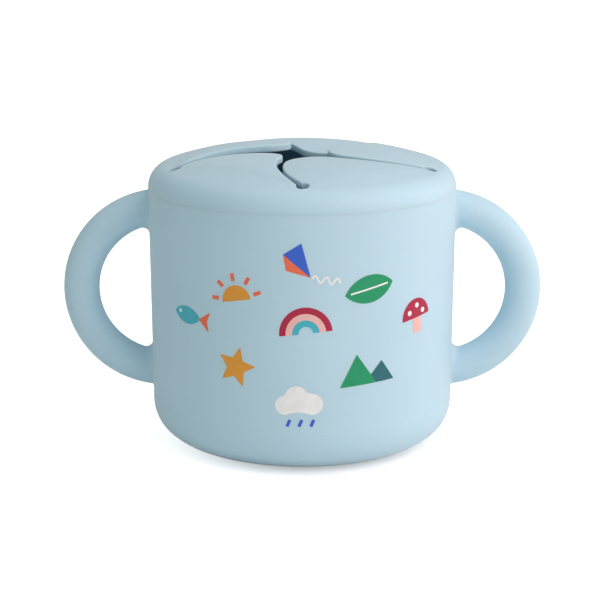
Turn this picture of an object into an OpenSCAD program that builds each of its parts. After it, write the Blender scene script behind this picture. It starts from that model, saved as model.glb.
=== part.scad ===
// Toddler snack container: a two-handled cup and a soft push-in lid, both
// moulded in silicone. Curved slits part the lid's dome into five petal flaps
// that fold at their roots to let a small hand in and keep the snacks from
// falling out. The base stands on z = 0, and the loops lie along X.

/* [Cup] */
// Outer diameter of the cup at the seam below the lid
cup_d = 90; // [80:1:100]
// Height of the cup from the base to the seam
cup_h = 76; // [70:1:90]
// How far the wall leans in between the seam and the base rounding
wall_lean = 0.9; // [0.2:0.1:2]
// Thickness of the wall at the rim, where the lid's plug goes in
rim_wall = 2.4; // [2:0.1:3]
// Thickness of the wall at its foot
foot_wall = 3; // [2.5:0.1:4]
// Thickness of the floor
floor_t = 3.5; // [2.5:0.1:5]
// Height of the rounding round the base
round_h = 13; // [10:0.5:14]
// How far the rounding reaches in under the base
round_in = 15.5; // [15:0.5:18]
// Radius of the corner inside, between wall and floor
inner_round = 10; // [6:0.5:12]
// Width of the flat ring that the cup stands on
foot_w = 5; // [3:0.5:8]
// Depth of the shallow hollow inside that ring
foot_hollow = 0.8; // [0.4:0.1:1.2]

/* [Handles] */
// Thickness of the round bar of a loop handle
bar_d = 10.5; // [8:0.5:12]
// Radius of a loop, measured to the middle of its bar
loop_r = 24.25; // [22:0.25:26]
// Distance from the seam down to the top of a loop
loop_top = 0.7; // [0.7:0.1:4]
// How far the middle of a loop lies inside the wall
loop_sunk = 4.2; // [2:0.1:6]
// Radius of the fillet where a bar grows out of the wall
root_fillet = 0.7; // [0.4:0.1:0.7]

/* [Lid] */
// Height of the dome's crown above the seam
dome_h = 13; // [11:0.5:16]
// Radius of the lid's rounded shoulder
shoulder_r = 6.5; // [4:0.5:8]
// Height of the upright edge between the seam and the shoulder
edge_h = 0.5; // [0.3:0.1:2]
// Thickness of the dome and the flaps
lid_t = 2; // [1.5:0.1:2.5]
// How deep the plug reaches into the cup
plug_h = 5; // [3:0.5:8]
// Thickness of the plug's wall
plug_t = 1.5; // [1.2:0.1:2]
// Clearance all round between the plug and the cup
plug_gap = 0.15; // [0.1:0.05:0.3]

/* [Flaps] */
// Radius of the circle on which the holes at the slits' ends lie
hole_circle = 38.5; // [37:0.1:38.5]
// Diameter of these holes, which stop the slits from tearing further
hole_d = 3.8; // [3:0.1:4]
// Width of a slit
slit_w = 1.2; // [1:0.1:1.6]
// How far a slit bows sideways from the straight line to the centre
slit_bow = 6.5; // [4:0.5:8]
// Radius of a petal's rounded tip
tip_r = 8; // [4:1:9]
// Distance from the line between two holes in to the fold of a flap
fold_inset = 3.2; // [3:0.1:4]
// Distance from the far hole at which a fold stops
fold_short = 5.8; // [5:0.1:8]
// Clearance round the folding root of a flap
fold_gap = 0.3; // [0.2:0.05:0.5]
// Sag of the front right flap, in degrees about its fold
sag_front_right = 8; // [0:0.5:15]
// Sag of the right flap
sag_right = 6.5; // [0:0.5:15]
// Sag of the back flap
sag_back = 10; // [0:0.5:15]
// Sag of the left flap
sag_left = 3.5; // [0:0.5:15]
// Sag of the front left flap
sag_front_left = 7; // [0:0.5:15]

/* [Hidden] */
$fn = 128;
eps = 0.01;
far = 200;

cup_color = "#b4d0e1";
lid_color = "#bcd6e6";
flap_color = "#c6deec";

// Cup, from the outside in
cup_r = cup_d / 2;
low_r = cup_r - wall_lean;          // outer radius at the top of the rounding
mouth_r = cup_r - rim_wall;         // the bore that takes the plug
mouth_room = 2;                     // the mouth reaches this far below the plug
mouth_depth = plug_h + mouth_room;
low_bore_r = low_r - foot_wall;
// The base rounding is two arcs that run smoothly into each other: a tight one
// at the side, and a wide one below it that flattens out at the foot
side_fullness = 1.05;
side_arc = side_fullness * round_h * round_h / round_in;
under_arc = ((round_in - side_arc) * (round_in - side_arc) + round_h * round_h
             - side_arc * side_arc) / (2 * (round_h - side_arc));
foot_r = low_r - round_in;          // outer edge of the flat ring

// Handles
bar_r = bar_d / 2;
loop_x = cup_r - loop_sunk;
loop_z = cup_h - loop_top - bar_r - loop_r;
// The wall curves away from a flare's flat foot, so the foot is bedded in it,
// and the flare bites into the bar where it runs out
flare_r = bar_r + root_fillet;
flare_bed = flare_r * flare_r / (4 * cup_r);
flare_sunk = rim_wall / 4;
flare_bite = 0.04;
flare_end = 0.8 * root_fillet;      // it runs out here, just inside the bar
function wall_at(z) = low_r + wall_lean * (z - round_h) / (cup_h - round_h);

// Lid: a spherical dome that runs smoothly into the round shoulder
shoulder_x = cup_r - shoulder_r;
shoulder_z = cup_h + edge_h;
crown = dome_h - edge_h;
dome_r = (shoulder_x * shoulder_x + crown * crown - shoulder_r * shoulder_r)
         / (2 * (crown - shoulder_r));
dome_z = cup_h + dome_h - dome_r;   // height of the sphere's centre
plug_out = mouth_r - plug_gap;
plug_in = plug_out - plug_t;
function dome_top(r) = dome_z + sqrt(dome_r * dome_r - r * r);
function dome_under(r) = dome_z + sqrt((dome_r - lid_t) * (dome_r - lid_t) - r * r);

// Flaps: each is first laid out at the front, between two holes
flap_n = 5;
half_angle = 180 / flap_n;
half_chord = hole_circle * sin(half_angle);
fold_d = hole_circle * cos(half_angle) - fold_inset;   // fold to the axis
fold_from = -half_chord;
fold_to = half_chord - fold_short;
// The dome arches over the straight fold, so the folding root is a round
// bead just thick enough to take in the dome's whole thickness at both ends.
fold_high = dome_top(fold_d);
fold_low = dome_under(norm([fold_d, half_chord]));
fold_z = (fold_high + fold_low) / 2;
root_spare = 0.15;
root_r = (fold_high - fold_low) / 2 + root_spare;
slit_r = (hole_circle * hole_circle / 4 + slit_bow * slit_bow) / (2 * slit_bow);
near_hole = -90 - half_angle;       // the hole on a petal's bulging side
far_hole = -90 + half_angle;        // the hole on its hollow side
// Middle of the circle that a slit follows, for the hole in direction a
function slit_mid(a) = hole_circle / 2 * [cos(a), sin(a)]
                       + (slit_r - slit_bow) * [-sin(a), cos(a)];
bulge_mid = slit_mid(near_hole);
hollow_mid = slit_mid(far_hole);
bulge_r = slit_r - slit_w / 2;
hollow_r = slit_r + slit_w / 2;
// Middle of the tip's arc, which touches both edges of the petal
mids = hollow_mid - bulge_mid;
tip_along = (mids * mids + (bulge_r - tip_r) * (bulge_r - tip_r)
             - (hollow_r + tip_r) * (hollow_r + tip_r)) / (2 * norm(mids));
tip_off = sqrt((bulge_r - tip_r) * (bulge_r - tip_r) - tip_along * tip_along);
unit = mids / norm(mids);
tip_mid = bulge_mid + tip_along * unit + tip_off * [-unit[1], unit[0]];
bulge_touch = bulge_mid + bulge_r * (tip_mid - bulge_mid) / norm(tip_mid - bulge_mid);
hollow_touch = hollow_mid + hollow_r * (tip_mid - hollow_mid) / norm(tip_mid - hollow_mid);
touch = (hollow_touch - bulge_touch) / norm(hollow_touch - bulge_touch);

// ---- Cup ----

// Outer outline of the cup, to the right of its axis
module cup_outline() {
  side_mid = [low_r - side_arc, round_h];
  under_mid = [foot_r, under_arc];
  to_side = (side_mid - under_mid) / norm(side_mid - under_mid);
  polygon([[0, 0], [foot_r, 0], [foot_r, round_h], [low_r, round_h],
           [cup_r, cup_h], [0, cup_h]]);
  translate(side_mid) circle(side_arc);
  intersection() {
    translate(under_mid) circle(under_arc);
    polygon([under_mid, [foot_r, -1], [cup_r, -1], under_mid + 2 * under_arc * to_side]);
  }
}

// The hollow of the cup: a straight mouth for the plug, then a wall that
// thickens downwards and a rounded corner
module cup_hollow() {
  corner = [low_bore_r - inner_round, floor_t + inner_round];
  translate([0, cup_h - mouth_depth]) square([mouth_r, mouth_depth + 1]);
  polygon([[0, floor_t], [corner[0], floor_t], corner, [low_bore_r, corner[1]],
           [mouth_r, cup_h - mouth_depth], [0, cup_h - mouth_depth]]);
  translate(corner) circle(inner_round);
  square([foot_r - foot_w, foot_hollow]);
}

// The flare that blends a bar into the wall. Its foot stands upright at x = 0,
// and it leans over with the bar.
module root_flare(lean) {
  multmatrix([[1, 0, 0, 0], [0, 1, 0, 0], [tan(lean), 0, 1, 0], [0, 0, 0, 1]])
    rotate([0, 90, 0]) rotate_extrude() difference() {
      translate([0, -flare_sunk])
        square([flare_r - flare_bite, flare_sunk + flare_end]);
      translate([flare_r - flare_bite, root_fillet]) circle(root_fillet);
    }
}

// One loop handle on the +X side, with its ends buried in the wall
module loop_handle() {
  translate([loop_x, 0, loop_z]) rotate([90, 0, 0]) rotate([0, 0, -90])
    rotate_extrude(angle = 180) translate([loop_r, 0]) circle(bar_r);
  for (end = [-1, 1]) {
    foot_x = wall_at(loop_z + end * loop_r) - flare_bed;
    across = foot_x - loop_x;
    translate([foot_x, 0, loop_z + end * sqrt(loop_r * loop_r - across * across)])
      root_flare(-end * asin(across / loop_r));
  }
}

module cup_body() {
  color(cup_color) difference() {
    union() {
      rotate_extrude() cup_outline();
      for (turn = [0, 180]) rotate([0, 0, turn]) loop_handle();
    }
    rotate_extrude() cup_hollow();
  }
}

// ---- Lid ----

// Half section of the whole lid before its slits are cut: dome, shoulder,
// upright edge that sits on the rim, and the plug below it
module lid_section() {
  tangent_x = dome_r * shoulder_x / (dome_r - shoulder_r);
  difference() {
    union() {
      intersection() {
        translate([0, dome_z]) circle(dome_r);
        translate([0, shoulder_z]) square([tangent_x, far]);
      }
      translate([shoulder_x, shoulder_z]) intersection() {
        circle(shoulder_r);
        square(shoulder_r);
      }
      translate([0, cup_h]) square([cup_r, edge_h]);
      translate([0, cup_h - plug_h]) square([plug_out, plug_h + eps]);
    }
    intersection() {
      translate([0, dome_z]) circle(dome_r - lid_t);
      translate([-eps, cup_h - plug_h - 1]) square([plug_in + eps, far]);
    }
  }
}

// The dome alone, as the shell that the flaps are cut from
module dome_shell() {
  translate([0, 0, dome_z]) difference() {
    sphere(dome_r, $fn = 256);
    sphere(dome_r - lid_t, $fn = 256);
  }
}

// Line of a fold, as a round bar of radius r along X between two ends
module fold_bar(r, from, to) {
  translate([from, -fold_d, fold_z]) rotate([0, 90, 0]) cylinder(r = r, h = to - from);
}

// The last stretch of a slit, in the ring, up to the hole in direction a.
// The slit comes in from the clockwise side of that direction.
module slit_end(a) {
  before = a - half_angle;
  past = a + half_angle / 3;
  intersection() {
    translate(slit_mid(a)) difference() {
      circle(hollow_r);
      circle(bulge_r);
    }
    circle(hole_circle);
    polygon([[0, 0], far * [cos(before), sin(before)], far * [cos(past), sin(past)]]);
  }
}

// The room that one petal hangs in, inward of its fold. It reaches a little
// past the middle of the slit that it shares with its neighbour.
module petal_room() {
  difference() {
    translate(bulge_mid) circle(slit_r + slit_w / 4);
    translate(hollow_mid) circle(slit_r);
    translate([-far / 2, -fold_d - far]) square([far, far]);
  }
}

module lid_ring() {
  color(lid_color) difference() {
    rotate_extrude() lid_section();
    translate([0, 0, cup_h - plug_h]) linear_extrude(far) {
      for (seat = [1 : flap_n]) rotate((2 * seat - 1) * half_angle) {
        petal_room();
        slit_end(far_hole);
        translate(hole_circle * [cos(far_hole), sin(far_hole)])
          circle(d = hole_d, $fn = 64);
      }
    }
    for (seat = [1 : flap_n]) rotate((2 * seat - 1) * half_angle)
      fold_bar(root_r + fold_gap, fold_from, fold_to + fold_gap);
  }
}

// ---- Flaps ----

// Outline of a petal: one edge bulges, the other is hollow, and the tip is round
module petal() {
  difference() {
    translate(bulge_mid) circle(bulge_r);
    translate(hollow_mid) circle(hollow_r);
    // square the tip off between the two points where its arc will touch
    translate(bulge_touch) rotate(atan2(touch[1], touch[0]))
      translate([-far / 2, 0]) square([far, far]);
    translate([-far / 2, -fold_d - fold_inset - far]) square([far, far]);
  }
  translate(tip_mid) circle(tip_r);
}

// A flap, sagging about its fold. The seats 1 to 5 run anticlockwise from the front.
module flap(seat, sag) {
  color(flap_color) rotate([0, 0, (2 * seat - 1) * half_angle])
    translate([0, -fold_d, fold_z]) rotate([-sag, 0, 0]) translate([0, fold_d, -fold_z])
    intersection() {
      dome_shell();
      translate([0, 0, cup_h]) linear_extrude(far) petal();
      union() {
        translate([-far / 2, -fold_d, cup_h]) cube([far, far, far]);
        fold_bar(root_r, fold_from, fold_to);
      }
    }
}

module flap_front_right() { flap(1, sag_front_right); }
module flap_right() { flap(2, sag_right); }
module flap_back() { flap(3, sag_back); }
module flap_left() { flap(4, sag_left); }
module flap_front_left() { flap(5, sag_front_left); }

cup_body();
lid_ring();
flap_front_right();
flap_right();
flap_back();
flap_left();
flap_front_left();
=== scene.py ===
# A toddler's snack container in matte silicone: a cup with two loop handles
# and a print on its wall, and a push-in lid whose dome is slit into five petal
# flaps. Shapes are laid out in millimetres and made in metres, in the frame of
# the CAD model: z is up from the table, and x runs through the two handles.

import math

import bmesh
import bpy
import numpy as np
from mathutils.geometry import delaunay_2d_cdt
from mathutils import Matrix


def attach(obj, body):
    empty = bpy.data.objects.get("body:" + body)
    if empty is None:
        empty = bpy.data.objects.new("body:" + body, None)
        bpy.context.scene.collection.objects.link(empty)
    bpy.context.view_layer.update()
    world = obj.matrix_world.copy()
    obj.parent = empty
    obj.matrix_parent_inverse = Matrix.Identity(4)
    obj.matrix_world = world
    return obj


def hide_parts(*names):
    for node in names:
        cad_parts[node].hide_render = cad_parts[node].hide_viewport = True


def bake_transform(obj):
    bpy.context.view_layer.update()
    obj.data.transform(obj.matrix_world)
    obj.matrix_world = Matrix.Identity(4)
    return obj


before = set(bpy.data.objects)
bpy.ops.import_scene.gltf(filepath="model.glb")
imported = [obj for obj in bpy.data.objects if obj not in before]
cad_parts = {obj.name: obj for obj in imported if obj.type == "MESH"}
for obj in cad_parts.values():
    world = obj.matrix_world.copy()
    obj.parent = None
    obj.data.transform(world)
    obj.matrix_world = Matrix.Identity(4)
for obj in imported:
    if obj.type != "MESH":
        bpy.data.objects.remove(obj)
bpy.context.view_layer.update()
scene = bpy.context.scene
scene.view_settings.view_transform = "Standard"
MM = 0.001

# ---- Camera ----
# A long lens a little above the lid, tilted down so that the dome's slits and
# the print on the wall both show, as in a product photograph.

CAMERA_AT = np.array([-0.66, -684.97, 201.27])
CAMERA_TILT = 13.103
FOCAL_LENGTH = 142.7
FILM_WIDTH = 36

camera = bpy.data.cameras.new("camera")
camera.lens = FOCAL_LENGTH
camera.sensor_width = FILM_WIDTH
camera_stand = bpy.data.objects.new("camera", camera)
camera_stand.location = CAMERA_AT * MM
camera_stand.rotation_euler = (math.radians(90 - CAMERA_TILT), 0, 0)
scene.collection.objects.link(camera_stand)
scene.camera = camera_stand

# ---- Cup ----
# The wall and floor are one piece of soft silicone rubber, compression moulded
# and coloured all through. A fine bead runs round it where the mould's halves
# met, at the top of the base rounding.

CUP_R = 45.0            # outer radius at the seam with the lid
CUP_H = 76.0            # height of the seam
WALL_LEAN = 0.9         # how far the wall leans in on its way down
ROUND_H = 13.0          # height of the rounding round the base
ROUND_IN = 15.5         # how far it reaches in under the base
SIDE_FULLNESS = 1.05    # radius of the rounding at the side, against an ellipse's there
RIM_WALL = 2.4
FOOT_WALL = 3.0
FLOOR_T = 3.5
INNER_ROUND = 10.0
FOOT_W = 5.0            # width of the ring that the cup stands on
FOOT_HOLLOW = 0.8
MOUTH_DEPTH = 7.0       # the straight part of the mouth, for the lid's plug
EDGE_ROUND = 0.3        # rounding that the mould leaves on every edge
SEAM_ROUND = 0.025      # the crisper edges of the cup's rim and of the lid that meets it
BEAD_OUT = 0.07         # parting bead: how far it stands out, and its height
BEAD_H = 0.5
AROUND = 320            # points in a full turn
SHARP_ABOVE = 40        # shading breaks at folds of more than these degrees
SILICONE_BLUE = (0.50, 0.715, 0.825, 1)
CLOUDING = 0.035        # how far the blue goes darker and lighter, as a share
CLOUD_SIZE = 24
FLECK_SIZE = 1.3
RIPPLE_SIZE = 5.5       # slow waves in the skin
RIPPLE_DEPTH = 0.12
GRAIN_SIZE = 0.22       # the mould's fine satin grain
GRAIN_DEPTH = 0.04


class Wire:
    """An output of a shader node, or a bare node tree. Sums and products add Math nodes."""

    def __init__(self, tree, socket=None):
        self.tree, self.socket = tree, socket

    def node(self, kind, settings, inputs, output=0):
        """Adds a node, sets its settings, then its inputs by name or number, and returns an output."""
        made = self.tree.nodes.new(kind)
        for name, value in settings.items():
            setattr(made, name, value)
        for name, value in inputs.items():
            if isinstance(value, Wire):
                self.tree.links.new(value.socket, made.inputs[name])
            else:
                made.inputs[name].default_value = value
        return Wire(self.tree, made.outputs[output]) if made.outputs else None

    def maths(self, operation, other):
        return self.node("ShaderNodeMath", {"operation": operation}, {0: self, 1: other})

    def __add__(self, other):
        return self.maths("ADD", other)

    def __mul__(self, other):
        return self.maths("MULTIPLY", other)

    __radd__ = __add__
    __rmul__ = __mul__

    def mix(self, low, high):
        """The colour low where this value is 0, running to high where it is 1."""
        return self.node("ShaderNodeMix", {"data_type": "RGBA"}, {0: self, 6: low, 7: high}, 2)

    def clouding(self, colour, share):
        """The colour, darker by that share where this value is 0 and lighter by it where it is 1."""
        return self.mix(tinted(colour, 1 - share), tinted(colour, 1 + share))

    def noise(self, place, size, detail=2.0):
        """Cloudy values about 0.5, in patches of that size in millimetres."""
        inputs = {"Vector": place, "Scale": 1 / (size * MM), "Detail": detail}
        return self.node("ShaderNodeTexNoise", {}, inputs)

    def bump(self, strength, depth, **under):
        """The normal of a surface with this relief, laid over the normal of any bump under it."""
        inputs = {"Strength": strength, "Distance": depth * MM, "Height": self}
        return self.node("ShaderNodeBump", {}, inputs | under)


def emptied(owner):
    """The node tree of a material or of the world, with nothing in it yet."""
    owner.use_nodes = True
    owner.node_tree.nodes.clear()
    return Wire(owner.node_tree)


def tinted(colour, by):
    """The colour made darker or lighter by a factor."""
    return tuple(min(1.0, channel * by) for channel in colour[:3]) + (1,)


def silicone(name, colour):
    """Matte silicone rubber: clouded a little through its depth, with the mould's fine satin grain."""
    material = bpy.data.materials.new(name)
    tree = emptied(material)
    place = tree.node("ShaderNodeTexCoord", {}, {}, "Object")
    cloud = tree.noise(place, CLOUD_SIZE)
    fleck = tree.noise(place, FLECK_SIZE, 3.0)
    grain = tree.noise(place, GRAIN_SIZE, 1.0)
    ripple = tree.noise(place, RIPPLE_SIZE, 1.0)
    surface = tree.node("ShaderNodeBsdfPrincipled", {}, {
        "Base Color": (cloud * 0.75 + fleck * 0.25).clouding(colour, CLOUDING),
        "Roughness": fleck * 0.16 + 0.46,
        "Normal": ripple.bump(0.35, RIPPLE_DEPTH, Normal=grain.bump(0.25, GRAIN_DEPTH)),
        "IOR": 1.41,
        "Subsurface Weight": 0.25,
        "Subsurface Radius": (1.0, 1.2, 1.3),
        "Subsurface Scale": 2 * MM,
        "Sheen Weight": 0.25,
        "Sheen Roughness": 0.4,
    })
    tree.node("ShaderNodeOutputMaterial", {}, {"Surface": surface})
    return material


def wall_r(z):
    """Outer radius of the cup's wall at a height."""
    return low_r + WALL_LEAN * (z - ROUND_H) / (CUP_H - ROUND_H)


def arc(middle, radius, start, stop, steps):
    """Points on an arc about (x, y), from one direction to another in degrees."""
    turn = np.radians(np.linspace(start, stop, steps + 1))
    return np.asarray(middle) + radius * np.column_stack([np.cos(turn), np.sin(turn)])


def turned(outline):
    """Rows of points of an outline [(radius, height), ...] turned about the cup's axis."""
    turn = np.radians(np.arange(AROUND) * 360 / AROUND)
    rows = [np.column_stack([r * np.cos(turn), r * np.sin(turn), np.full(AROUND, z)]) for r, z in outline]
    return np.concatenate(rows)


def band(low, high):
    """Faces between two closed rows of points, which are given by their numbers."""
    return [tuple(f) for f in np.column_stack([low, np.roll(low, -1), np.roll(high, -1), high])]


def bands(rows):
    """Faces between each row and the next."""
    return [face for low, high in zip(rows, rows[1:]) for face in band(low, high)]


def tube(points, around):
    """Faces over rows of points with so many in a row, closed off at both ends."""
    rows = np.arange(len(points)).reshape(-1, around)
    return bands(rows) + [tuple(rows[0][::-1]), tuple(rows[-1])]


def piece(name, points, faces, materials):
    """A smooth-shaded closed mesh from points in millimetres, with its normals outwards."""
    mesh = bpy.data.meshes.new(name)
    mesh.from_pydata((np.asarray(points) * MM).tolist(), [], [[int(i) for i in face] for face in faces])
    for material in materials:
        mesh.materials.append(material)
    solid = bmesh.new()
    solid.from_mesh(mesh)
    bmesh.ops.recalc_face_normals(solid, faces=solid.faces)
    solid.to_mesh(mesh)
    solid.free()
    mesh.shade_smooth()
    mesh.set_sharp_from_angle(angle=math.radians(SHARP_ABOVE))
    made = bpy.data.objects.new(name, mesh)
    scene.collection.objects.link(made)
    return made


low_r = CUP_R - WALL_LEAN
foot_r = low_r - ROUND_IN
bore_r = CUP_R - RIM_WALL
inner_foot = foot_r - FOOT_W
corner = (low_r - FOOT_WALL - INNER_ROUND, FLOOR_T + INNER_ROUND)
# The base rounding is two arcs that run smoothly into each other
side_r = SIDE_FULLNESS * ROUND_H ** 2 / ROUND_IN
side_mid = np.array([low_r - side_r, ROUND_H])
under_r = ((ROUND_IN - side_r) ** 2 + ROUND_H ** 2 - side_r ** 2) / (2 * (ROUND_H - side_r))
under_mid = np.array([foot_r, under_r])
arcs_meet = math.degrees(math.atan2(*(side_mid - under_mid)[::-1]))
# The bead is sharp below and runs out upwards
bead = [
    (low_r + BEAD_OUT * full, ROUND_H + BEAD_H * share)
    for share, full in ((0.08, 0.6), (0.17, 0.95), (0.25, 1.0), (0.45, 0.75), (0.65, 0.4), (0.85, 0.1))
]
wall_rows = ROUND_H + (CUP_H - ROUND_H) * np.linspace(0.012, 0.985, 24)
# From the middle of the underside out, up the wall, over the rim and down inside
cup_outline = np.concatenate([
    [(inner_foot * share, FOOT_HOLLOW) for share in (0.02, 0.3, 0.6, 0.9)],
    arc((inner_foot - EDGE_ROUND, FOOT_HOLLOW - EDGE_ROUND), EDGE_ROUND, 90, 0, 3),
    arc((inner_foot + EDGE_ROUND, EDGE_ROUND), EDGE_ROUND, 180, 270, 3),
    arc(under_mid, under_r, -90, arcs_meet, 14),
    arc(side_mid, side_r, arcs_meet, 0, 18)[1:],
    bead,
    [(wall_r(z), z) for z in wall_rows],
    arc((CUP_R - SEAM_ROUND, CUP_H - SEAM_ROUND), SEAM_ROUND, 0, 90, 4),
    arc((bore_r + EDGE_ROUND, CUP_H - EDGE_ROUND), EDGE_ROUND, 90, 180, 4),
    [(bore_r, CUP_H - MOUTH_DEPTH)],
    np.linspace((bore_r, CUP_H - MOUTH_DEPTH), (low_r - FOOT_WALL, corner[1]), 12)[1:-1],
    arc(corner, INNER_ROUND, 0, -90, 16),
    [(corner[0] * share, FLOOR_T) for share in (0.75, 0.5, 0.25, 0.02)],
])
cup_points = turned(cup_outline)
cup_silicone = silicone("cup_silicone", SILICONE_BLUE)
cup_wall = piece("cup_wall", cup_points, tube(cup_points, AROUND), [cup_silicone])
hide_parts("cup_body")
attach(cup_wall, "cup")

# ---- Handles ----
# Two loops of solid round bar, moulded in one with the wall. A bar grows out of
# the wall through a fillet that is tight on the outside of the loop and wider
# on the inside, where a finger goes through.

BAR_R = 5.25
LOOP_R = 24.25          # radius of the loop's middle line
LOOP_MID = np.array([CUP_R - 4.2, 0.0, 45.8])    # a little behind the wall's outer face
FILLET_OUTSIDE = 0.7
FILLET_INSIDE = 2.0
ROOT_SUNK = 0.9         # how deep a root goes into the wall
CLEAR_TURN = 0.9        # radians along the loop from its outermost point: the bar is clear of the wall
SUNK_TURN = 2.0         # and here it is well inside it
BAR_AROUND = 72
BAR_ALONG = 110
FILLET_STEPS = 7


def unit(vectors):
    return vectors / np.linalg.norm(vectors, axis=-1, keepdims=True)


def bar_out(along, around):
    """Direction straight out of the bar, at an angle along the loop and one round the bar."""
    flat = np.cos(around)
    return np.stack([flat * np.cos(along), np.sin(around), flat * np.sin(along)], -1)


def bar_point(along, around, out):
    """A point at that distance from the bar's middle line."""
    middle = np.stack([np.cos(along), np.zeros_like(along), np.sin(along)], -1) * LOOP_R
    return LOOP_MID + middle + out[:, None] * bar_out(along, around)


around = np.arange(BAR_AROUND) * 2 * np.pi / BAR_AROUND
fillet = (FILLET_OUTSIDE + FILLET_INSIDE) / 2 + (FILLET_OUTSIDE - FILLET_INSIDE) / 2 * np.cos(around)


def root(end):
    """Where the bar stops, and its rows from there down the fillet into the wall. end is -1 or 1."""
    # A ball as big as the fillet rolls round the bar and touches the wall too: halving finds where
    near, away = np.full(BAR_AROUND, CLEAR_TURN), np.full(BAR_AROUND, SUNK_TURN)
    for _ in range(40):
        stop = (near + away) / 2
        ball = bar_point(end * stop, around, BAR_R + fillet)
        clear = np.hypot(ball[:, 0], ball[:, 1]) > wall_r(ball[:, 2]) + fillet
        near, away = np.where(clear, stop, near), np.where(clear, away, stop)
    to_bar = -bar_out(end * stop, around)
    to_wall = -unit(ball * [1, 1, 0])
    rows = []
    for share in np.linspace(0, 1, FILLET_STEPS + 1)[1:]:
        rows.append(ball + fillet[:, None] * unit(to_bar * (1 - share) + to_wall * share))
    # The root is closed off inside the wall
    foot = rows[-1]
    middle = foot.mean(0)
    for share in (1.0, 0.7, 0.4, 0.1):
        deep = middle + (foot - middle) * share
        deep[:, 0] = np.sqrt((wall_r(deep[:, 2]) - ROOT_SUNK) ** 2 - deep[:, 1] ** 2)
        rows.append(deep)
    return end * stop, rows


lower_stop, lower_rows = root(-1)
upper_stop, upper_rows = root(1)
bar_rows = []
for share in np.linspace(0, 1, BAR_ALONG + 1):
    along = lower_stop + (upper_stop - lower_stop) * share
    bar_rows.append(bar_point(along, around, np.full(BAR_AROUND, BAR_R)))
loop_points = np.concatenate(lower_rows[::-1] + bar_rows + upper_rows)
loop_faces = tube(loop_points, BAR_AROUND)
for name, turn in (("loop_right", 1), ("loop_left", -1)):
    loop = piece(name, loop_points * [turn, turn, 1], loop_faces, [cup_silicone])
    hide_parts("cup_body")
    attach(loop, "cup")

# ---- Print ----
# A scatter of small nursery shapes on the wall, screen printed in flat silicone
# inks that stand a hair proud of it, once on the front and once on the back.

INK_PROUD = 0.05
INK_LAYER = 0.012       # how far each part of a shape stands out over the part before it
INK_SUNK = 0.06         # each print is closed off just under the wall's skin
INK_GRID = 1.1
PRINT_SCALE = 1.22
INKS = {
    "blue": (0.035, 0.125, 0.62), "crimson": (0.42, 0.012, 0.055), "coral": (0.83, 0.16, 0.07),
    "mustard": (0.76, 0.33, 0.035), "green": (0.008, 0.31, 0.13), "turquoise": (0.055, 0.46, 0.56),
    "teal": (0.02, 0.14, 0.17), "pink": (0.86, 0.50, 0.47), "white": (0.86, 0.88, 0.88),
}
INK_CLOUDING = 0.1
LAID_SIZE = 2.5
WEAVE_SIZE = 0.15       # the screen's weave, left in the ink
WEAVE_DEPTH = 0.03


def ink(name, colour):
    """Satin silicone ink, laid a little thicker in some places than in others."""
    material = bpy.data.materials.new("ink_" + name)
    tree = emptied(material)
    place = tree.node("ShaderNodeTexCoord", {}, {}, "Object")
    laid = tree.noise(place, LAID_SIZE, 3.0)
    weave = tree.noise(place, WEAVE_SIZE, 1.0)
    surface = tree.node("ShaderNodeBsdfPrincipled", {}, {
        "Base Color": laid.clouding(colour, INK_CLOUDING),
        "Roughness": laid * 0.12 + 0.42,
        "Normal": weave.bump(0.2, WEAVE_DEPTH),
        "IOR": 1.45,
    })
    tree.node("ShaderNodeOutputMaterial", {}, {"Surface": surface})
    return material


def inside(points, outline):
    """Which points lie inside a closed outline."""
    x, y = points[:, :1], points[:, 1:]
    x1, y1 = outline.T
    x2, y2 = np.roll(outline, -1, 0).T
    crosses = (y1 > y) != (y2 > y)
    rise = np.where(y2 == y1, 1.0, y2 - y1)
    return (crosses & (x < x1 + (y - y1) * (x2 - x1) / rise)).sum(1) % 2 == 1


def gap(points, starts, ends):
    """Distance of each point from the nearest of the stretches between starts and ends."""
    along = ends - starts
    offset = points[:, None] - starts
    share = np.clip((offset * along).sum(-1) / (along ** 2).sum(-1), 0, 1)
    return np.linalg.norm(offset - share[..., None] * along, axis=-1).min(1)


def grid(outline, step, clearance):
    """Points of a triangular grid inside an outline, clear of its edge."""
    low, high = outline.min(0), outline.max(0)
    rows = []
    for i, y in enumerate(np.arange(low[1], high[1], step * math.sqrt(3) / 2)):
        x = np.arange(low[0] + step / 2 * (i % 2), high[0], step)
        rows.append(np.column_stack([x, np.full(len(x), y)]))
    found = np.concatenate(rows)
    found = found[inside(found, outline)]
    return found[gap(found, outline, np.roll(outline, -1, 0)) > clearance]


def triangles(points, outlines):
    """Triangles between the points, inside the first outline and outside the others.
    The outlines' own points come first among the points."""
    edges, start = [], 0
    for outline in outlines:
        numbers = np.arange(start, start + len(outline))
        edges += np.column_stack([numbers, np.roll(numbers, -1)]).tolist()
        start += len(outline)
    # Kind 0 keeps all the triangles, and points within 1e-7 mm would become one
    made = delaunay_2d_cdt([tuple(p) for p in points.tolist()], edges, [], 0, 1e-7)
    source = [number[0] for number in made[3]]
    faces = np.array([[source[i] for i in face] for face in made[2]])
    middles = points[faces].mean(1)
    wanted = inside(middles, outlines[0])
    for outline in outlines[1:]:
        wanted &= ~inside(middles, outline)
    return faces[wanted]


def slab(skin, edge, below):
    """Faces of a thin solid: triangles on top, the same ones underneath and a wall down from the edge.
    A point underneath has the number of the one over it and below more."""
    return np.concatenate([skin, skin[:, ::-1] + below]).tolist() + band(edge + below, edge)


def spun(points, turn):
    """Flat points turned about the middle."""
    c, s = math.cos(turn), math.sin(turn)
    return points @ np.array([[c, s], [-s, c]])


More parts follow.
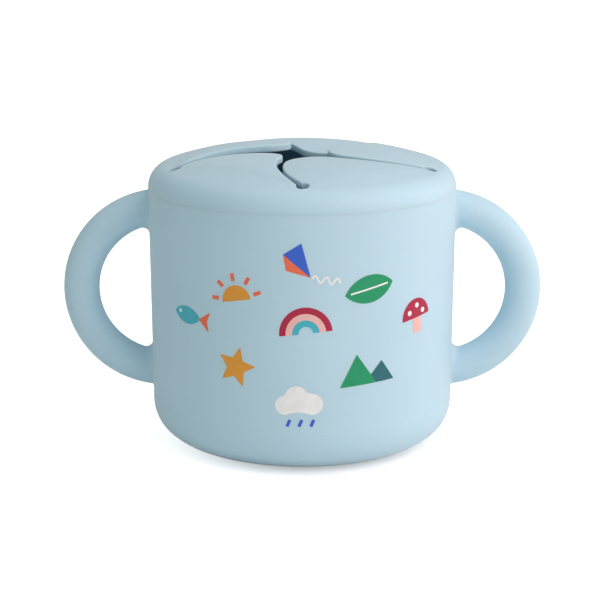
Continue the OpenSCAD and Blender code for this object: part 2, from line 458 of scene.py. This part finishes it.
def polygon(*points):
    """An outline through the points, with its sides cut into short steps."""
    points = np.array(points, float)
    sides = [np.linspace(a, b, 1 + max(1, int(np.linalg.norm(b - a) / INK_GRID)))[:-1]
             for a, b in zip(points, np.roll(points, -1, 0))]
    return np.concatenate(sides)


def disc(x, y, radius):
    return arc((x, y), radius, 0, 360, 36)[:-1]


def half_disc(x, y, radius):
    """A half disc that stands on its flat side."""
    base = np.linspace((x - radius, y), (x + radius, y), round(2 * radius / INK_GRID))[1:-1]
    return np.concatenate([arc((x, y), radius, 0, 180, 26), base])


def half_ring(outer, inner):
    """An upright arch."""
    return np.concatenate([arc((0, 0), outer, 0, 180, 26), arc((0, 0), inner, 180, 0, 20)])


def stroke(middle_line, width):
    """A line of even width with square ends."""
    line = np.array(middle_line, float)
    side = unit(np.gradient(line, axis=0))[:, ::-1] * [-1, 1] * width / 2
    return np.concatenate([line + side, (line - side)[::-1]])


# A shape is a list of its parts from the lowest layer up, each an ink and an outline
def sun():
    rays = [stroke(np.outer([4.6, 6.4], [math.cos(a), math.sin(a)]) + [0, -2], 0.9)
            for a in np.radians([12, 51, 90, 129, 168])]
    return [("mustard", half_disc(0, -2, 3.6))] + [("coral", ray) for ray in rays]


def arches():
    rings = ("crimson", 6.2), ("pink", 4.7), ("turquoise", 3.2)
    return [(colour, half_ring(outer, outer - 1.5)) for colour, outer in rings]


def hills():
    high = polygon((-7, -3.2), (2.2, -3.2), (-2.4, 4.2))
    low = polygon((2.2, -3.2), (7, -3.2), (3.9, 1.8), (0.9, -1.1))
    return [("green", high), ("teal", low)]


def leaf():
    blade = np.concatenate([arc((0, -4.4), 7.6, 145, 35, 24), arc((0, 4.32), 7.6, -35, -145, 24)[1:-1]])
    vein = stroke(np.column_stack([np.linspace(-4.8, 4.8, 9), np.zeros(9)]), 0.4)
    return [("green", blade), ("white", vein)]


def cloud():
    left = arc((-3.4, -0.6), 2.2, 270, 118, 12)
    middle = arc((-0.6, 1.3), 2.7, 165, 28, 14)
    right = arc((3.2, -0.3), 2.5, 88, -90, 14)
    rain = [stroke([(x + 0.5, -4.0), (x - 0.2, -5.6)], 0.75) for x in (-2.6, 0.2, 3.0)]
    return [("white", np.concatenate([left, middle, right]))] + [("blue", drop) for drop in rain]


def kite():
    upper = polygon((-3.4, 1.2), (0.4, 4.4), (3.6, -3.2))
    lower = polygon((-3.4, 1.2), (3.6, -3.2), (-2.2, -2.4))
    tail_x = np.linspace(0, 7.4, 22)
    tail = stroke(np.column_stack([4.0 + tail_x * 0.9, -3.4 + 0.75 * np.sin(tail_x * 2.2)]), 0.5)
    return [("blue", upper), ("coral", lower), ("white", tail)]


def toadstool():
    stem = polygon((-1.3, -0.02), (-1.5, -3.6), (1.5, -3.6), (1.3, -0.02))
    spots = [disc(x, y, 0.62) for x, y in ((-2.2, 1.6), (0.4, 2.9), (2.3, 1.2))]
    return [("crimson", half_disc(0, 0, 4.6)), ("pink", stem)] + [("white", spot) for spot in spots]


def star():
    turn = np.radians(90 + 36 * np.arange(10))
    reach = np.where(np.arange(10) % 2, 2.3, 4.9)
    return [("mustard", polygon(*np.column_stack([reach * np.cos(turn), reach * np.sin(turn)])))]


def fish():
    body = np.concatenate([arc((0, -3.2), 5.8, 140, 40, 20), arc((0, 4.25), 5.8, -40, -140, 20)[1:-1]])
    tail = polygon((4.0, 0.5), (7.2, 2.9), (6.5, 0.5), (7.2, -1.9))
    return [("turquoise", body), ("coral", tail), ("white", disc(-2.4, 1.0, 0.45))]


# Place along the wall from the middle of the front, height, tilt in degrees, shape
PRINT = [
    (-1.5, 63, -8, kite), (-19.5, 53.5, 10, sun), (19.5, 54.5, 12, leaf),
    (-37, 44, -6, fish), (1, 42.5, 6, arches), (36.5, 44, 8, toadstool),
    (-19.5, 32, -14, star), (19, 31, 4, hills), (-1, 22.5, 0, cloud),
]

inks = {name: ink(name, colour) for name, colour in INKS.items()}


def on_wall(flat, lift):
    """Wraps points (along, height) of the flat artwork round the wall."""
    along, height = flat.T
    radius = wall_r(height) + lift
    return np.column_stack([radius * np.sin(along / CUP_R), -radius * np.cos(along / CUP_R), height])


for side, facing in (("front", 1), ("back", -1)):
    for number, (along, height, tilt, motif) in enumerate(PRINT, 1):
        points, faces, used, ink_numbers = [], [], [], []
        count = 0
        for layer, (colour, outline) in enumerate(motif()):
            outline = spun(outline, math.radians(tilt)) * PRINT_SCALE + [along, height]
            flat = np.concatenate([outline, grid(outline, INK_GRID, INK_GRID / 3)])
            points += [on_wall(flat, INK_PROUD + INK_LAYER * layer), on_wall(flat, -INK_SUNK)]
            edge = np.arange(len(outline)) + count
            layer_faces = slab(triangles(flat, [outline]) + count, edge, len(flat))
            faces += layer_faces
            if colour not in used:
                used.append(colour)
            ink_numbers += [used.index(colour)] * len(layer_faces)
            count += 2 * len(flat)
        name = f"print_{side}_{number}_{motif.__name__}"
        points = np.concatenate(points) * [facing, facing, 1]
        shape = piece(name, points, faces, [inks[colour] for colour in used])
        shape.data.polygons.foreach_set("material_index", ink_numbers)
        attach(shape, "cup")

# ---- Lid ----
# A push-in lid of the same silicone, moulded in one: a low dome, a round
# shoulder flush with the cup's wall, and a plug that grips inside the mouth.
# Five round holes near the shoulder stop the dome's slits from tearing further.

DOME_H = 13.0           # crown of the dome above the seam
SHOULDER_R = 6.5
EDGE_H = 0.5            # height of the straight edge under the shoulder
LID_T = 2.0
PLUG_H = 5.0
PLUG_T = 1.5
PLUG_GAP = 0.15         # between the plug and the mouth, all round
PLUG_NECK = 0.2         # a row of points this far down keeps the plug's long face evenly shaded
HOLE_CIRCLE = 38.5      # the holes lie on a circle of this radius
HOLE_R = 1.9
SLIT_W = 1.9
SLIT_BOW = 6.5          # how far a slit bows sideways on its way to the middle
TIP_R = 8.0             # rounding of a petal's tip
CUT_ROUND = 0.28        # rounding along every slit and hole
CUT_STEP = 0.4          # spacing of points along a cut
CUT_SLACK = 0.002       # a point this much too near a cut still counts as clear of it
SEAM_INSET = 0.8        # the even points of a seam start this far from the edge of the first hole
SEAM_SLOPE = 1.5        # the last stretch of a seam, which slopes to where the slit meets its hole
SEAM_LEAD = 0.3         # and the even points end this far before it
SEAM_POINTS = 52
DOME_GRID = 1.3

PETALS = 5
half = math.pi / PETALS                 # half the angle between two holes
chord = HOLE_CIRCLE * math.cos(half)    # from the axis to the line between two holes
half_chord = HOLE_CIRCLE * math.sin(half)
slit_r = (HOLE_CIRCLE ** 2 / 4 + SLIT_BOW ** 2) / (2 * SLIT_BOW)
shoulder = np.array([CUP_R - SHOULDER_R, CUP_H + EDGE_H])
# The dome is part of a ball that runs smoothly into the shoulder
crown = DOME_H - EDGE_H
dome_r = (shoulder[0] ** 2 + crown ** 2 - SHOULDER_R ** 2) / (2 * (crown - SHOULDER_R))
dome_z = CUP_H + DOME_H - dome_r
dome_edge = dome_r * shoulder[0] / (dome_r - SHOULDER_R)    # where dome and shoulder meet
# Rows of points that round a cut edge over: distance in from the cut
roll_in = CUT_ROUND * (1 - np.cos(np.radians(np.linspace(0, 90, 5))))


def dome_sheet(points, depth):
    """Height of the dome's outer face, or of its inner face at that depth, over points in plan."""
    return dome_z + np.sqrt((dome_r - depth) ** 2 - (points ** 2).sum(1))


def slit_mid(direction):
    """Middle of the circle that a slit follows, for the hole in that direction."""
    c, s = math.cos(direction), math.sin(direction)
    return HOLE_CIRCLE / 2 * np.array([c, s]) + (slit_r - SLIT_BOW) * np.array([-s, c])


def meeting(first, first_r, second, second_r):
    """Where two circles cross, on the left of the line from the first to the second."""
    across = second - first
    apart = np.linalg.norm(across)
    along = (apart ** 2 + first_r ** 2 - second_r ** 2) / (2 * apart)
    off = math.sqrt(first_r ** 2 - along ** 2)
    across = across / apart
    return first + along * across + off * np.array([-across[1], across[0]])


def run(middle, radius, start, stop, way):
    """Points on a circle from one place on it to another, turning left (1) or right (-1)."""
    a = math.atan2(*(start - middle)[::-1])
    b = math.atan2(*(stop - middle)[::-1])
    turn = (b - a) * way % (2 * math.pi) * way
    steps = max(2, round(abs(turn) * radius / CUT_STEP))
    return arc(middle, radius, math.degrees(a), math.degrees(a + turn), steps)


def sheet(outlines, cut, others, step, sag):
    """A piece of the dome with rounded cuts: points in plan, upper and lower heights, and triangles.
    The piece lies on the left of its outlines, cut says which of their sides are cut edges, others are
    the starts and ends of cuts in the pieces beside it, and sag gives the height to take off a point."""
    joined = np.concatenate(outlines)
    nexts = np.concatenate([np.roll(outline, -1, 0) for outline in outlines])
    starts, ends = joined[cut], nexts[cut]
    # Rows of points beside the cuts, each with its own distance in, and a grid for the rest
    inward = unit(nexts - joined)[:, ::-1] * [-1, 1]
    rounding = np.concatenate([starts + inward[cut] * reach for reach in roll_in[1:]])
    own = np.repeat(roll_in[1:], len(starts))
    fill = grid(outlines[0], step, step / 3)
    for outline in outlines:
        on = outline is outlines[0]
        own = own[inside(rounding, outline) == on]
        rounding = rounding[inside(rounding, outline) == on]
        fill = fill[inside(fill, outline) == on]
    clear = gap(rounding, starts, ends) > own - CUT_SLACK
    clear &= gap(rounding, joined[~cut], nexts[~cut]) > CUT_ROUND / 4
    fill = fill[(gap(fill, starts, ends) > CUT_ROUND + step / 3) & (gap(fill, joined, nexts) > step / 3)]
    points = np.concatenate([joined, rounding[clear], fill])
    # The faces roll over towards the nearest cut, be it this piece's or the next one's
    near = gap(points, np.concatenate([starts, others[0]]), np.concatenate([ends, others[1]]))
    inset = np.minimum(near, CUT_ROUND)
    over = CUT_ROUND - np.sqrt(2 * inset * CUT_ROUND - inset ** 2)
    drop = sag(points)
    upper = dome_sheet(points, 0) - over - drop
    lower = dome_sheet(points, LID_T) + over - drop
    return points, upper, lower, triangles(points, outlines)


# A petal's outline in plan, laid out at the front: its left edge bulges, its
# right one is hollow, and it joins the ring along the seam between two holes
near_hole = np.array([-half_chord, -chord])
far_hole = np.array([half_chord, -chord])
bulge_mid, bulge_r = slit_mid(-math.pi / 2 - half), slit_r - SLIT_W / 2
hollow_mid, hollow_r = slit_mid(-math.pi / 2 + half), slit_r + SLIT_W / 2
tip_mid = meeting(bulge_mid, bulge_r - TIP_R, hollow_mid, hollow_r + TIP_R)
tip_right = hollow_mid + hollow_r * unit(tip_mid - hollow_mid)
tip_left = bulge_mid + bulge_r * unit(tip_mid - bulge_mid)
root_right = meeting(far_hole, HOLE_R, hollow_mid, hollow_r)
root_left = meeting(near_hole, HOLE_R, bulge_mid, bulge_r)
seam_x = np.concatenate([
    roll_in - half_chord + HOLE_R,
    np.linspace(HOLE_R - half_chord + SEAM_INSET, root_right[0] - (SEAM_SLOPE + SEAM_LEAD), SEAM_POINTS),
])
seam = np.concatenate([
    np.column_stack([seam_x, np.full(len(seam_x), -chord)]),
    np.linspace((root_right[0] - SEAM_SLOPE, -chord), root_right, 10),
])
petal = np.concatenate([
    seam,
    run(hollow_mid, hollow_r, root_right, tip_right, -1)[1:],
    run(tip_mid, TIP_R, tip_right, tip_left, 1)[1:],
    run(bulge_mid, bulge_r, tip_left, root_left, 1)[1:],
    run(near_hole, HOLE_R, root_left, seam[0], -1)[1:-1],
])
petal_cut = np.arange(len(petal)) >= len(seam) - 1
petal_cuts = petal[petal_cut], np.roll(petal, -1, 0)[petal_cut]

# The ring's inner outline runs along the seams and round the outer side of each
# hole. The ring lies outside it, so it is taken clockwise.
next_seam = spun(seam[:1], 2 * half)[0]
hole_side = run(far_hole, HOLE_R, root_right, next_seam, 1)[1:-1]
stretch = np.concatenate([seam, hole_side])
seats = [half + 2 * half * seat for seat in range(PETALS)]
ring_inner = np.concatenate([spun(stretch, turn) for turn in seats])[::-1]
ring_outer = arc((0, 0), dome_edge, 0, 360, AROUND)[:-1]
along_hole = np.arange(len(stretch)) >= len(seam) - 1
ring_cut = np.concatenate([np.zeros(AROUND, bool), np.roll(np.tile(along_hole, PETALS)[::-1], -1)])
beside = [np.concatenate([spun(points, turn) for turn in seats]) for points in petal_cuts]
plan, upper, lower, skin = sheet([ring_outer, ring_inner], ring_cut, beside, DOME_GRID,
                                 lambda p: np.zeros(len(p)))
dome_points = np.concatenate([np.column_stack([plan, upper]), np.column_stack([plan, lower])])

# The shoulder and the plug run on from the dome's edge and back up to its inner face
plug_out = bore_r - PLUG_GAP
shoulder_top = math.degrees(math.acos((dome_edge - shoulder[0]) / SHOULDER_R))
lid_outline = np.concatenate([
    arc(shoulder, SHOULDER_R, shoulder_top, 0, 22)[1:],
    arc((CUP_R - SEAM_ROUND, CUP_H + SEAM_ROUND), SEAM_ROUND, 0, -90, 4),
    [(plug_out, CUP_H), (plug_out, CUP_H - PLUG_NECK)],
    arc((plug_out - EDGE_ROUND, CUP_H - PLUG_H + EDGE_ROUND), EDGE_ROUND, 0, -90, 4),
    arc((plug_out - PLUG_T + EDGE_ROUND, CUP_H - PLUG_H + EDGE_ROUND), EDGE_ROUND, -90, -180, 4),
    [(plug_out - PLUG_T, CUP_H)],
])
plug_points = turned(lid_outline)
plug_rows = np.arange(len(plug_points)).reshape(-1, AROUND) + len(dome_points)
dome_rim = np.arange(AROUND)
lid_faces = slab(skin, np.arange(len(ring_inner)) + AROUND, len(plan))
lid_faces += bands([dome_rim + len(plan), *plug_rows[::-1], dome_rim])
lid_silicone = silicone("lid_silicone", SILICONE_BLUE)
lid_dome = piece("lid_dome", np.concatenate([dome_points, plug_points]), lid_faces, [lid_silicone])
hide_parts("lid_ring")
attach(lid_dome, "lid")

# ---- Flaps ----
# Each petal is the dome's own sheet between two curved slits, hinged by the
# bend of the soft silicone along the line between two holes. It has sagged
# with use, some petals more than others, and its tip is rounded.

FLAP_GRID = 0.9
# Anticlockwise from the front: how far a petal has sunk by the middle of the lid,
# and over about what length from its root it bends most
SAG = {
    "front_right": (3.7, 2), "right": (2.3, 40), "back": (5.0, 3), "left": (1.6, 5), "front_left": (3.5, 5),
}


def bend(inward, easing):
    """How far a sheet has bent down at a distance in from the line between the holes."""
    return inward ** 2 / (inward + easing)


for turn, (name, (sag, easing)) in zip(seats, SAG.items()):
    depth = sag / bend(chord, easing)
    plan, upper, lower, skin = sheet([petal], petal_cut, petal_cuts, FLAP_GRID,
                                     lambda p: depth * bend(np.maximum(0, chord + p[:, 1]), easing))
    spot = spun(plan, turn)
    points = np.concatenate([np.column_stack([spot, upper]), np.column_stack([spot, lower])])
    faces = slab(skin, np.arange(len(petal)), len(plan))
    flap = piece("flap_skin_" + name, points, faces, [lid_silicone])
    outward = np.append(spun(np.array([[0.0, -1.0]]), turn), 0) * MM
    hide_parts("flap_" + name)
    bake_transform(flap)

# ---- Table and light ----
# A white table that runs out of sight in a white room. Soft boxes light the cup:
# large ones from the right and from overhead, a small one low on the right, and
# weak ones from the left and from low down in front.

TABLE = (0.92, 0.92, 0.92, 1)
TABLE_REACH = 9         # metres from the cup to the table's edges
NEAR_GLOW = 0.40        # painted glow that the camera sees on the table besides its lit paint, near the cup and far off
FAR_GLOW = 0.80
# Painted shade: the glow is weakest about this point, in front of the cup and to its right, which paints a
# darker patch on the table there
PAINTED_SHADE_MID = np.array([20, -15, 0])
GLOW_START = 24         # distances from there between which the glow rises
GLOW_END = 60
PATCH_SIZE = 30         # faint unevenness of the paint
PATCHINESS = 0.005
ROOM = (0.965, 1.0, 0.98, 1)
ROOM_GLOW = 0.285
# Place and width in metres, power in watts, colour
SOFT_BOXES = {
    "key": ((0.53, -0.39, 0.50), 0.70, 4.25, (1.0, 0.835, 0.815)),
    "side": ((0.60, 0.22, 0.22), 0.40, 0.9, (1.0, 0.97, 0.95)),
    "top": ((-0.02, 0.06, 0.85), 0.70, 1.65, (1.0, 1.0, 1.0)),
    "fill": ((-0.70, -0.35, 0.30), 0.60, 0.55, (0.84, 1.0, 0.93)),
    "low": ((0.20, -0.60, 0.05), 0.30, 0.3, (0.80, 0.98, 1.0)),
}

table_paint = bpy.data.materials.new("table_paint")
tree = emptied(table_paint)
place = tree.node("ShaderNodeTexCoord", {}, {}, "Object")
seen = tree.node("ShaderNodeLightPath", {}, {}, "Is Camera Ray")
# Painted light and shade: the camera sees the table glow more brightly away from the cup, as on an overlit
# sweep. This whites out the cup's cast shadow further off and paints a darker patch close round the base
away = tree.node("ShaderNodeVectorMath", {"operation": "DISTANCE"}, {0: place, 1: PAINTED_SHADE_MID * MM}, 1)
away = tree.node("ShaderNodeMapRange", {"interpolation_type": "SMOOTHSTEP"}, {
    "Value": away, "From Min": GLOW_START * MM, "From Max": GLOW_END * MM, "To Min": 0.0, "To Max": 1.0,
})
glow = away.mix(tinted(TABLE, NEAR_GLOW), tinted(TABLE, FAR_GLOW))
paint = tree.node("ShaderNodeBsdfPrincipled", {}, {
    "Base Color": tree.noise(place, PATCH_SIZE).clouding(TABLE, PATCHINESS),
    "Roughness": 0.9,
    "Emission Color": seen.mix((0, 0, 0, 1), glow),
    "Emission Strength": 1.0,
})
tree.node("ShaderNodeOutputMaterial", {}, {"Surface": paint})
table_mesh = bpy.data.meshes.new("table")
corners = [(x * TABLE_REACH, y * TABLE_REACH, 0) for x, y in ((-1, -1), (1, -1), (1, 1), (-1, 1))]
table_mesh.from_pydata(corners, [], [(0, 1, 2, 3)])
table_mesh.materials.append(table_paint)
table = bpy.data.objects.new("table", table_mesh)
scene.collection.objects.link(table)

# The camera sees a plain white room, which lights the cup only dimly
world = bpy.data.worlds.new("room")
tree = emptied(world)
seen = tree.node("ShaderNodeLightPath", {}, {}, "Is Camera Ray")
room = tree.node("ShaderNodeBackground", {}, {
    "Color": seen.mix(ROOM, (1, 1, 1, 1)), "Strength": seen * (1 - ROOM_GLOW) + ROOM_GLOW,
})
tree.node("ShaderNodeOutputWorld", {}, {"Surface": room})
scene.world = world

for name, (at, width, power, colour) in SOFT_BOXES.items():
    light = bpy.data.lights.new(name, "AREA")
    light.shape = "SQUARE"
    light.size, light.energy, light.color = width, power, colour
    stand = bpy.data.objects.new(name, light)
    stand.location = at
    # It faces the middle of the cup
    aim = np.array([0, 0, CUP_H / 2 * MM]) - at
    tilt = math.atan2(math.hypot(aim[0], aim[1]), -aim[2])
    stand.rotation_euler = (tilt, 0, math.atan2(aim[1], aim[0]) - math.pi / 2)
    scene.collection.objects.link(stand)
